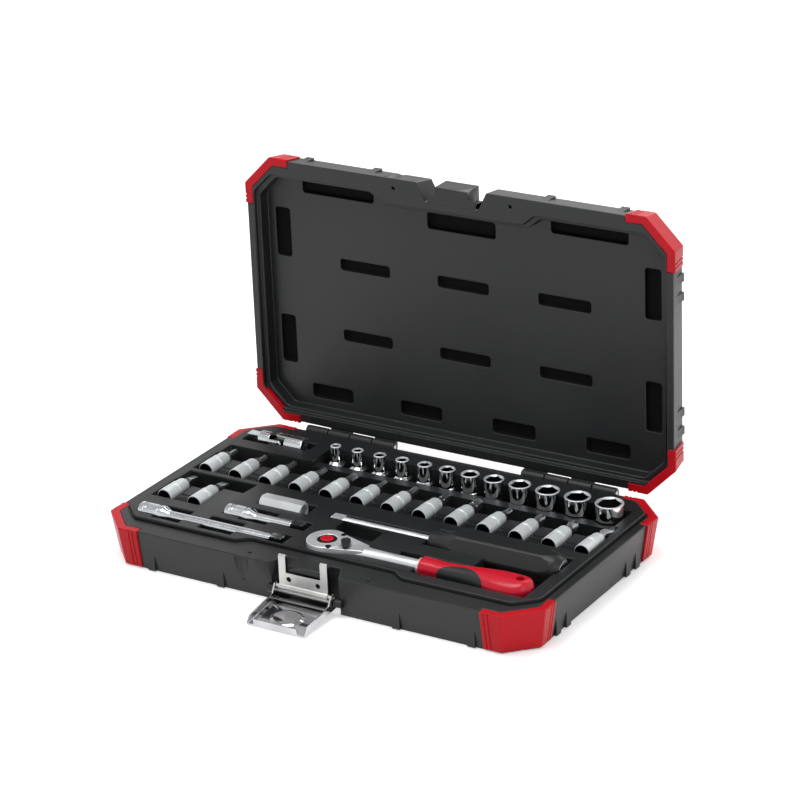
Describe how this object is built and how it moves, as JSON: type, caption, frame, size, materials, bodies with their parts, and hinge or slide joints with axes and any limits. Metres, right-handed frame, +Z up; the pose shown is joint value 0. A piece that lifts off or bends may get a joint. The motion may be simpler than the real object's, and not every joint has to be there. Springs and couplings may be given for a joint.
{
  "type": "socket wrench set",
  "caption": "Open blow-moulded case with red corner guards and a draw latch, holding a ratchet, spinner handle, extensions, joint, sockets and bit sockets that lift out.",
  "frame": {"origin": "middle of the base's underside, on the surface that the case stands on", "axes": "+X along the case to the right as seen from the latch, +Y from the latch to the hinge, +Z up"},
  "size_m": [0.3024, 0.2297, 0.2055],
  "materials": {
    "black_case_plastic": "grained",
    "red_guard_plastic": "satin",
    "latch_steel": "bright zinc",
    "tool_chrome": "polished",
    "satin_steel": "satin",
    "dark_steel": "blackened",
    "red_grip_plastic": "glossy",
    "black_grip_plastic": "satin"
  },
  "bodies": {
    "case_base": {"base_shell": "black_case_plastic", "base_guard_front_left": "red_guard_plastic", "base_guard_front_right": "red_guard_plastic", "base_guard_back_left": "red_guard_plastic", "base_guard_back_right": "red_guard_plastic", "hinge_pins": "latch_steel", "latch_pivot_pin": "latch_steel"},
    "lid": {"lid_shell": "black_case_plastic", "lid_guard_front_left": "red_guard_plastic", "lid_guard_front_right": "red_guard_plastic", "lid_guard_back_left": "red_guard_plastic", "lid_guard_back_right": "red_guard_plastic"},
    "latch_lever": {"latch_lever": "latch_steel", "latch_link_pin": "latch_steel"},
    "latch_link": {"latch_link": "latch_steel"},
    "socket_4": {"socket_4": "tool_chrome"},
    "socket_4_5": {"socket_4_5": "tool_chrome"},
    "socket_5": {"socket_5": "tool_chrome"},
    "socket_5_5": {"socket_5_5": "tool_chrome"},
    "socket_6": {"socket_6": "tool_chrome"},
    "socket_7": {"socket_7": "tool_chrome"},
    "socket_8": {"socket_8": "tool_chrome"},
    "socket_9": {"socket_9": "tool_chrome"},
    "socket_10": {"socket_10": "tool_chrome"},
    "socket_11": {"socket_11": "tool_chrome"},
    "socket_12": {"socket_12": "tool_chrome"},
    "socket_13": {"socket_13": "tool_chrome"},
    "bit_socket_star_10": {"bit_socket_star_10": "satin_steel"},
    "bit_socket_star_15": {"bit_socket_star_15": "satin_steel"},
    "bit_socket_star_20": {"bit_socket_star_20": "satin_steel"},
    "bit_socket_star_25": {"bit_socket_star_25": "satin_steel"},
    "bit_socket_star_30": {"bit_socket_star_30": "satin_steel"},
    "bit_socket_hex_3": {"bit_socket_hex_3": "satin_steel"},
    "bit_socket_hex_4": {"bit_socket_hex_4": "satin_steel"},
    "bit_socket_hex_5": {"bit_socket_hex_5": "satin_steel"},
    "bit_socket_hex_6": {"bit_socket_hex_6": "satin_steel"},
    "bit_socket_cross_1": {"bit_socket_cross_1": "satin_steel"},
    "bit_socket_cross_2": {"bit_socket_cross_2": "satin_steel"},
    "bit_socket_cross_3": {"bit_socket_cross_3": "satin_steel"},
    "bit_socket_flat_7": {"bit_socket_flat_7": "satin_steel"},
    "bit_socket_flat_4": {"bit_socket_flat_4": "satin_steel"},
    "bit_socket_flat_5": {"bit_socket_flat_5": "satin_steel"},
    "extension_long": {"extension_long": "tool_chrome"},
    "extension_short": {"extension_short": "tool_chrome"},
    "bit_coupler": {"bit_coupler": "tool_chrome"},
    "u_joint_socket": {"u_joint_socket": "tool_chrome"},
    "u_joint_cross": {"u_joint_cross": "satin_steel"},
    "u_joint_drive": {"u_joint_drive": "tool_chrome"},
    "spinner": {"spinner_blade": "tool_chrome", "spinner_grip": "black_grip_plastic", "spinner_insert": "tool_chrome"},
    "ratchet": {"ratchet_body": "tool_chrome", "ratchet_cover": "satin_steel", "ratchet_screws": "dark_steel", "ratchet_grip": "red_grip_plastic", "ratchet_grip_inlay": "black_grip_plastic"},
    "ratchet_gear": {"ratchet_gear": "dark_steel"},
    "ratchet_reverser": {"ratchet_reverser": "satin_steel", "ratchet_pawl": "dark_steel"},
    "ratchet_button": {"ratchet_button": "red_grip_plastic"}
  },
  "joints": [
    {"name": "lid_hinge", "type": "hinge", "parent": "case_base", "child": "lid", "pos_m": [0, 0.0914, 0.0249], "axis": [-1, 0, 0], "range_deg": [-90, 0]},
    {"name": "latch_lever_pivot", "type": "hinge", "parent": "case_base", "child": "latch_lever", "pos_m": [0, -0.086, 0.0085], "axis": [1, 0, 0], "range_deg": [-96.5, 0]},
    {"name": "latch_link_pivot", "type": "hinge", "parent": "latch_lever", "child": "latch_link", "pos_m": [0, -0.08766, 0.01214], "axis": [1, 0, 0], "range_deg": [0, 96.5]},
    {"name": "socket_4_lift", "type": "slide", "parent": "case_base", "child": "socket_4", "axis": [0, 0, 1], "range_m": [0, 0.06]},
    {"name": "socket_4_5_lift", "type": "slide", "parent": "case_base", "child": "socket_4_5", "axis": [0, 0, 1], "range_m": [0, 0.06]},
    {"name": "socket_5_lift", "type": "slide", "parent": "case_base", "child": "socket_5", "axis": [0, 0, 1], "range_m": [0, 0.06]},
    {"name": "socket_5_5_lift", "type": "slide", "parent": "case_base", "child": "socket_5_5", "axis": [0, 0, 1], "range_m": [0, 0.06]},
    {"name": "socket_6_lift", "type": "slide", "parent": "case_base", "child": "socket_6", "axis": [0, 0, 1], "range_m": [0, 0.06]},
    {"name": "socket_7_lift", "type": "slide", "parent": "case_base", "child": "socket_7", "axis": [0, 0, 1], "range_m": [0, 0.06]},
    {"name": "socket_8_lift", "type": "slide", "parent": "case_base", "child": "socket_8", "axis": [0, 0, 1], "range_m": [0, 0.06]},
    {"name": "socket_9_lift", "type": "slide", "parent": "case_base", "child": "socket_9", "axis": [0, 0, 1], "range_m": [0, 0.06]},
    {"name": "socket_10_lift", "type": "slide", "parent": "case_base", "child": "socket_10", "axis": [0, 0, 1], "range_m": [0, 0.06]},
    {"name": "socket_11_lift", "type": "slide", "parent": "case_base", "child": "socket_11", "axis": [0, 0, 1], "range_m": [0, 0.06]},
    {"name": "socket_12_lift", "type": "slide", "parent": "case_base", "child": "socket_12", "axis": [0, 0, 1], "range_m": [0, 0.06]},
    {"name": "socket_13_lift", "type": "slide", "parent": "case_base", "child": "socket_13", "axis": [0, 0, 1], "range_m": [0, 0.06]},
    {"name": "bit_socket_star_10_lift", "type": "slide", "parent": "case_base", "child": "bit_socket_star_10", "axis": [0, 0, 1], "range_m": [0, 0.06]},
    {"name": "bit_socket_star_15_lift", "type": "slide", "parent": "case_base", "child": "bit_socket_star_15", "axis": [0, 0, 1], "range_m": [0, 0.06]},
    {"name": "bit_socket_star_20_lift", "type": "slide", "parent": "case_base", "child": "bit_socket_star_20", "axis": [0, 0, 1], "range_m": [0, 0.06]},
    {"name": "bit_socket_star_25_lift", "type": "slide", "parent": "case_base", "child": "bit_socket_star_25", "axis": [0, 0, 1], "range_m": [0, 0.06]},
    {"name": "bit_socket_star_30_lift", "type": "slide", "parent": "case_base", "child": "bit_socket_star_30", "axis": [0, 0, 1], "range_m": [0, 0.06]},
    {"name": "bit_socket_hex_3_lift", "type": "slide", "parent": "case_base", "child": "bit_socket_hex_3", "axis": [0, 0, 1], "range_m": [0, 0.06]},
    {"name": "bit_socket_hex_4_lift", "type": "slide", "parent": "case_base", "child": "bit_socket_hex_4", "axis": [0, 0, 1], "range_m": [0, 0.06]},
    {"name": "bit_socket_hex_5_lift", "type": "slide", "parent": "case_base", "child": "bit_socket_hex_5", "axis": [0, 0, 1], "range_m": [0, 0.06]},
    {"name": "bit_socket_hex_6_lift", "type": "slide", "parent": "case_base", "child": "bit_socket_hex_6", "axis": [0, 0, 1], "range_m": [0, 0.06]},
    {"name": "bit_socket_cross_1_lift", "type": "slide", "parent": "case_base", "child": "bit_socket_cross_1", "axis": [0, 0, 1], "range_m": [0, 0.06]},
    {"name": "bit_socket_cross_2_lift", "type": "slide", "parent": "case_base", "child": "bit_socket_cross_2", "axis": [0, 0, 1], "range_m": [0, 0.06]},
    {"name": "bit_socket_cross_3_lift", "type": "slide", "parent": "case_base", "child": "bit_socket_cross_3", "axis": [0, 0, 1], "range_m": [0, 0.06]},
    {"name": "bit_socket_flat_7_lift", "type": "slide", "parent": "case_base", "child": "bit_socket_flat_7", "axis": [0, 0, 1], "range_m": [0, 0.06]},
    {"name": "bit_socket_flat_4_lift", "type": "slide", "parent": "case_base", "child": "bit_socket_flat_4", "axis": [0, 0, 1], "range_m": [0, 0.06]},
    {"name": "bit_socket_flat_5_lift", "type": "slide", "parent": "case_base", "child": "bit_socket_flat_5", "axis": [0, 0, 1], "range_m": [0, 0.06]},
    {"name": "extension_long_lift", "type": "slide", "parent": "case_base", "child": "extension_long", "axis": [0, 0, 1], "range_m": [0, 0.06]},
    {"name": "extension_short_lift", "type": "slide", "parent": "case_base", "child": "extension_short", "axis": [0, 0, 1], "range_m": [0, 0.06]},
    {"name": "bit_coupler_lift", "type": "slide", "parent": "case_base", "child": "bit_coupler", "axis": [0, 0, 1], "range_m": [0, 0.06]},
    {"name": "u_joint_socket_lift", "type": "slide", "parent": "case_base", "child": "u_joint_socket", "axis": [0, 0, 1], "range_m": [0, 0.06]},
    {"name": "u_joint_swing", "type": "hinge", "parent": "u_joint_socket", "child": "u_joint_cross", "pos_m": [-0.113, 0.062, 0.027], "axis": [0, 0, 1], "range_deg": [-6, 6]},
    {"name": "u_joint_tilt", "type": "hinge", "parent": "u_joint_cross", "child": "u_joint_drive", "pos_m": [-0.113, 0.062, 0.027], "axis": [0, 1, 0], "range_deg": [0, 40]},
    {"name": "spinner_lift", "type": "slide", "parent": "case_base", "child": "spinner", "axis": [0, 0, 1], "range_m": [0, 0.06]},
    {"name": "ratchet_lift", "type": "slide", "parent": "case_base", "child": "ratchet", "axis": [0, 0, 1], "range_m": [0, 0.06]},
    {"name": "ratchet_drive_spin", "type": "hinge", "parent": "ratchet", "child": "ratchet_gear", "pos_m": [-0.0045, -0.0538, 0.026], "axis": [0, 0, 1], "continuous": true},
    {"name": "ratchet_reverser_turn", "type": "hinge", "parent": "ratchet", "child": "ratchet_reverser", "pos_m": [0.0086, -0.0538, 0.026], "axis": [0, 0, 1], "range_deg": [0, 60]},
    {"name": "ratchet_button_press", "type": "slide", "parent": "ratchet_gear", "child": "ratchet_button", "axis": [0, 0, 1], "range_m": [-0.0015, 0], "stiffness_N_per_m": 400, "springref_m": 0.0005}
  ],
  "couplings": [
    {"joint": "latch_link_pivot", "follows": "latch_lever_pivot", "ratio": -1}
  ]
}
